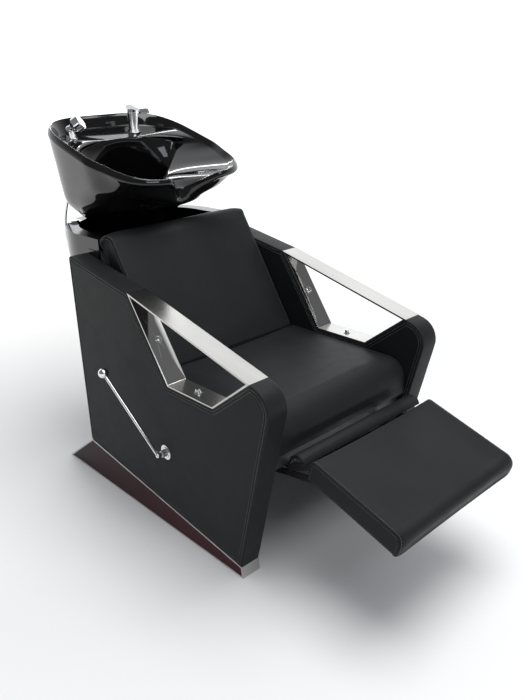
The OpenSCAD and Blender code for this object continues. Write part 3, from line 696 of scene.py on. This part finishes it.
def make_back():
    skirt_z = (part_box("back_cushion")[0] / MM).z
    along = np.array([math.sin(BACK_LEAN), math.cos(BACK_LEAN)])
    out = np.array([math.cos(BACK_LEAN), -math.sin(BACK_LEAN)])
    foot = BACK_FOOT
    tip = foot + BACK_LEN * along
    corners = [(foot[0], skirt_z), tuple(foot), tuple(tip), tuple(tip + BACK_THICK * out),
               tuple(foot + BACK_THICK * out), (foot[0] + BACK_THICK * out[0], skirt_z)]
    block = Block("back_cushion", corners, [10, 3, 30, 28, 3, 10], PAD_EDGE, PAD_SEAM,
                  (tip, along), BACK_CORNER)
    skirt = (foot[1] + BACK_HELD) * MM
    back = soft_block("back", block, lambda p: p[2] < skirt)
    block_stitches("back_stitches", block, "chair", lambda p: p.z > skirt)
    place(back, "chair", PAD_FILL)


def make_leg_pad():
    along = np.array([-math.cos(LEG_SLOPE), -math.sin(LEG_SLOPE)])
    down = np.array([math.sin(LEG_SLOPE), -math.cos(LEG_SLOPE)])
    root = LEG_ROOT
    front = root + LEG_LEN * along
    corners = [tuple(root), tuple(front), tuple(front + LEG_THICK * down),
               tuple(root + LEG_THICK * down)]
    block = Block("leg_rest_cushion", corners, [12, 30, 12, 6], PAD_EDGE, PAD_SEAM,
                  (front, along), LEG_CORNER)
    under = Vector((0, *(root + (LEG_THICK - LEG_HELD) * down))) * MM
    normal = Vector((0, *down))
    pad = soft_block("leg_pad", block, lambda p: (Vector(p) - under).dot(normal) > 0)
    block_stitches("leg_pad_stitches", block, "leg_rest", lambda p: (p - under).dot(normal) < 0)
    place(pad, "leg_rest", PAD_FILL)


def make_flap():
    flap = copy_of("gap_flap", "flap_cover")
    add_modifier(flap, "BEVEL", width=FLAP_EDGE, segments=3, limit_method="ANGLE",
                 angle_limit=math.radians(50))
    apply_modifiers(flap)
    flap.data.polygons.foreach_set("use_smooth", [True] * len(flap.data.polygons))
    flap.data.materials.append(LEATHER)
    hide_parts("gap_flap")
    place(flap, "flap", 0.9)


# ---------- side panels ----------
# Corners of the panel's outline, (y, z) and rounding, in millimetres
PANEL = [((-461, 35), 3), ((-604, 563), 58), ((-529, 582), 3), ((-385, 472), 3),
         ((-195, 472), 3), ((-43, 701), 3), ((261, 755), 10), ((284, 131), 8)]
PANEL_SEAM = 11.0
PANEL_EDGE = 4.5
PROUD = 1.2           # how far the padding stands out of the node's faces
# The seam's groove: distance from the seam towards the middle, and depth
GROOVE = [(2.2, 0.15), (0.9, 0.7), (0.0, 1.5), (-0.9, 0.7), (-2.2, 0.1)]
ROW_GAP = 0.0036      # from the seam to the stitches on each side of it, in metres


def panel_ring(inside, x):
    """The panel's outline moved in by inside, at width x, all in millimetres."""
    ring = inset_rounded([p for p, _ in PANEL], [r for _, r in PANEL], inside)
    return [Vector((x * MM, y * MM, z * MM)) for y, z in ring]


def make_panel(node, name, side):
    low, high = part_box(node)
    mid = (low.x + high.x) / 2 / MM
    half = (high.x - low.x) / 2 / MM
    profile = [(30, PROUD), (PANEL_SEAM + 5, PROUD)]
    profile += [(PANEL_SEAM + away, PROUD - depth) for away, depth in GROOVE]
    profile.append((PANEL_EDGE + 1.5, PROUD))
    for k in range(7):
        a = math.pi / 2 * k / 6
        profile.append((PANEL_EDGE * (1 - math.sin(a)), PROUD - PANEL_EDGE * (1 - math.cos(a))))
    rings = [panel_ring(inside, mid + half + step) for inside, step in profile]
    rings += [panel_ring(inside, mid - half - step) for inside, step in reversed(profile)]
    panel = new_object(name, *loft(rings), LEATHER)
    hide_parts(node)
    place(panel, "chair", 1.0)
    for face_name, x, sign in (("outer", mid + side * (half + PROUD), side),
                               ("inner", mid - side * (half + PROUD), -side)):
        stations = [(Vector(p), Vector(d), Vector((sign, 0, 0)))
                    for p, d in evenly(panel_ring(PANEL_SEAM, x), STITCH_PITCH, closed=True)]
        stitch_rows(f"{name}_{face_name}_stitches", stations, (-ROW_GAP, ROW_GAP), "chair")


# ---------- basin ----------
# All in millimetres, as in the part
NARROW_FROM, NARROW_OVER, NARROW_BY = 250, 100, 0.055      # the narrower front
NOTCH_HALF = 100
DECK_FROM, DECK_OVER = 400, 110
# Corners of the recess in the rear, (x, z) and rounding, and how far it reaches in y
POCKET = [((-160, 790), 20), ((160, 790), 20), ((174, 938), 14), ((-174, 938), 14)]
POCKET_Y = (500, 620)
RING_POINTS = 192


def bowl_ring(a, front, rear, nf, nr, cy, z, slope, push=0, drop=0, deck=0):
    """A closed ring of the basin.

    a, front and rear are its reach to the sides, forward and back from cy; nf and nr make its
    front and rear squarer.  It lies at height z and rises by slope towards the rear.  The neck
    notch moves it back by push and down by drop; deck lowers its rear.
    """
    pts = []
    for i in range(RING_POINTS):
        t = 2 * math.pi * (i + 0.5) / RING_POINTS
        ahead = math.sin(t) < 0
        n, b = (nf, front) if ahead else (nr, rear)
        r = (abs(math.cos(t) / a) ** n + abs(math.sin(t) / b) ** n) ** (-1 / n)
        y0 = cy + r * math.sin(t)
        taper = min(max((NARROW_FROM - y0) / NARROW_OVER, 0), 1)
        x = r * math.cos(t) * (1 - NARROW_BY * taper * taper * (3 - 2 * taper))
        notch = ahead and abs(x) < NOTCH_HALF
        k = math.cos(math.pi / 2 * x / NOTCH_HALF) ** 2 if notch else 0
        y = y0 + push * k
        fall = min(max((y - DECK_FROM) / DECK_OVER, 0), 1)
        pts.append((x, y, z + slope * (y - cy) - drop * k - deck * fall * fall * (3 - 2 * fall)))
    return np.array(pts)


def cut_pocket(bowl):
    """Cuts the recess in the basin's rear through which the hose passes."""
    outline = rounded([p for p, _ in POCKET], [r for _, r in POCKET], 6)
    rings = [[Vector((x, y, z)) * MM for x, z in outline] for y in POCKET_Y]
    cutter = new_object("pocket", *loft(rings), CERAMIC, smooth=False)
    add_modifier(bowl, "BOOLEAN", object=cutter, operation="DIFFERENCE", solver="EXACT")
    apply_modifiers(bowl)
    bpy.data.objects.remove(cutter)


def make_bowl():
    inner_rim = bowl_ring(219, 236, 240, 3.8, 3.8, 290, 1027, 0.3, 88, 72, 20)
    outer = smooth_line([
        bowl_ring(74, 74, 74, 2, 2, 400, 734, 0),
        bowl_ring(86, 84, 82, 2, 2, 402, 756, 0),
        bowl_ring(124, 120, 106, 2, 2.4, 405, 788, 0),
        bowl_ring(168, 150, 128, 2.1, 3, 404, 832, 0),
        bowl_ring(197, 232, 151, 2.3, 3.6, 394, 868, 0.03),
        bowl_ring(215, 228, 200, 2.4, 3.6, 350, 915, 0.12, 18, 22),
        bowl_ring(228, 222, 247, 2.8, 3.8, 305, 958, 0.24, 35, 38),
        bowl_ring(239, 240, 265, 3.6, 3.8, 290, 1010, 0.3, 65, 70),
        bowl_ring(241, 262, 267, 3.8, 3.8, 290, 1026, 0.3, 90, 72),
        bowl_ring(233, 261, 260, 3.8, 3.8, 290, 1042, 0.3, 92, 72),
        bowl_ring(226, 254, 253, 3.8, 3.8, 290, 1036, 0.3, 93, 72),
        inner_rim], 6)
    opening = bowl_ring(180, 138, 40, 1.12, 2.0, 372, 1021, 0.75)
    deck = smooth_line([inner_rim, opening], 14)[1:]
    basin = smooth_line([
        bowl_ring(177, 135, 37, 1.1, 1.95, 372, 1017, 0.75),
        bowl_ring(140, 105, 86, 1.6, 2.2, 345, 920, 0.15),
        bowl_ring(122, 98, 72, 2, 2.2, 375, 840, 0),
        bowl_ring(96, 88, 62, 2, 2, 392, 790, 0),
        bowl_ring(60, 58, 50, 2, 2, 398, 771, 0),
        bowl_ring(31, 31, 31, 2, 2, 400, 767, 0)], 8)
    hole = [bowl_ring(23, 23, 23, 2, 2, 400, 764, 0), bowl_ring(23, 23, 23, 2, 2, 400, 740, 0)]
    rings = [[Vector(p) * MM for p in ring] for ring in outer + deck + basin + hole]
    vertices, faces = loft(rings + [rings[0]], closed_ends=False)
    bowl = new_object("basin_shell", vertices, faces, CERAMIC)
    add_modifier(bowl, "WELD", merge_threshold=1e-6)
    apply_modifiers(bowl)
    cut_pocket(bowl)
    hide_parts("bowl")
    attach(bowl, "basin_unit")


# ---------- CAD nodes that stay ----------
STEEL_EDGE = 0.0006


def edge_bevel(node):
    """Softens a metal node's edges without touching its own mesh."""
    obj = NODES[node]
    add_modifier(obj, "WELD", merge_threshold=1e-6)
    add_modifier(obj, "BEVEL", width=STEEL_EDGE, segments=2, limit_method="ANGLE",
                 angle_limit=math.radians(35))


def dress_nodes():
    slots = {s["node"]: s["material_slot"] for s in frame["record"]["subparts"]}
    for name, obj in NODES.items():
        obj.data.materials.clear()
        obj.data.materials.append(BY_SLOT[slots[name]])


# ---------- studio ----------
FLOOR_HALF = 14
FLOOR_DROP = 0.0005
FLOOR_COLOUR = (0.85, 0.85, 0.855)
GLOW = (1.15, 1.15, 1.15)
GLOW_FROM, GLOW_TO = 0.6, 2.7      # distances from the origin
DARK_WORLD = (0.18, 0.184, 0.19)
BRIGHT_WORLD = (1.5, 1.52, 1.54)
BRIGHT_SIDE = (0.67, 0.74, -0.35)      # the direction in which the world is brightest


def make_floor():
    """A pale floor that turns into an even white glow away from the chair."""
    mat = material("floor", FLOOR_COLOUR, 0.75, specular=0.1)
    shader_of(mat).inputs["Emission Color"].default_value = (*GLOW, 1)
    spot = add(mat, "ShaderNodeVectorMath", operation="LENGTH")
    link(mat, coords(mat), "Vector", spot, 0)
    glow = add_range(mat, GLOW_FROM, GLOW_TO, interpolation_type="SMOOTHSTEP")
    link(mat, spot, "Value", glow, "Value")
    link(mat, glow, "Result", shader_of(mat), "Emission Strength")
    shade = add_ramp(mat, FLOOR_COLOUR, (0.0, 0.0, 0.0))
    link(mat, glow, "Result", shade, "Fac")
    link(mat, shade, "Color", shader_of(mat), "Base Color")
    square = [(-1, -1), (1, -1), (1, 1), (-1, 1)]
    floor = new_object("floor", [(x * FLOOR_HALF, y * FLOOR_HALF, -FLOOR_DROP) for x, y in square],
                       [(0, 1, 2, 3)], mat, smooth=False)


def make_world():
    """A studio that is bright beyond the chair, as the camera looks, and dark behind the camera."""
    world = bpy.data.worlds.new("studio")
    bpy.context.scene.world = world
    world.use_nodes = True
    background = world.node_tree.nodes["Background"]
    background.inputs["Strength"].default_value = 1.0
    direction = add(world, "ShaderNodeTexCoord")
    facing = add(world, "ShaderNodeVectorMath", operation="DOT_PRODUCT")
    facing.inputs[1].default_value = BRIGHT_SIDE
    ramp = add_ramp(world, DARK_WORLD, BRIGHT_WORLD, 0.0, 0.62)
    link(world, direction, "Generated", facing, 0)
    link(world, facing, "Value", ramp, "Fac")
    link(world, ramp, "Color", background, "Color")


def area_light(name, at, target, size, watts, colour=(1, 1, 1)):
    data = bpy.data.lights.new(name, "AREA")
    data.shape = "RECTANGLE"
    data.size, data.size_y = size
    data.energy = watts
    data.color = colour
    lamp = bpy.data.objects.new(name, data)
    aim = Vector(target) - Vector(at)
    lamp.matrix_world = Matrix.Translation(at) @ aim.to_track_quat("-Z", "Y").to_matrix().to_4x4()
    bpy.context.scene.collection.objects.link(lamp)


def make_lights():
    area_light("key", at=(0.2, -0.9, 3.6), target=(0, -0.3, 0.5), size=(2.6, 2.2), watts=110)
    area_light("strip", at=(0.9, 1.9, 2.3), target=(0, 0.3, 0.9), size=(1.3, 0.08), watts=5)
    area_light("front", at=(-0.6, -3.2, 2.4), target=(0, -0.4, 0.4), size=(1.8, 1.0), watts=22,
               colour=(0.86, 0.92, 1.0))


make_seat()
make_back()
make_leg_pad()
make_flap()
make_panel("left_side_panel", "left_panel", -1)
make_panel("right_side_panel", "right_panel", 1)
make_bowl()
dress_nodes()
for steel in ("left_arm_frame", "right_arm_frame", "left_base_rail", "right_base_rail"):
    edge_bevel(steel)
make_floor()
make_world()
make_lights()
bpy.context.scene.view_settings.view_transform = "Standard"
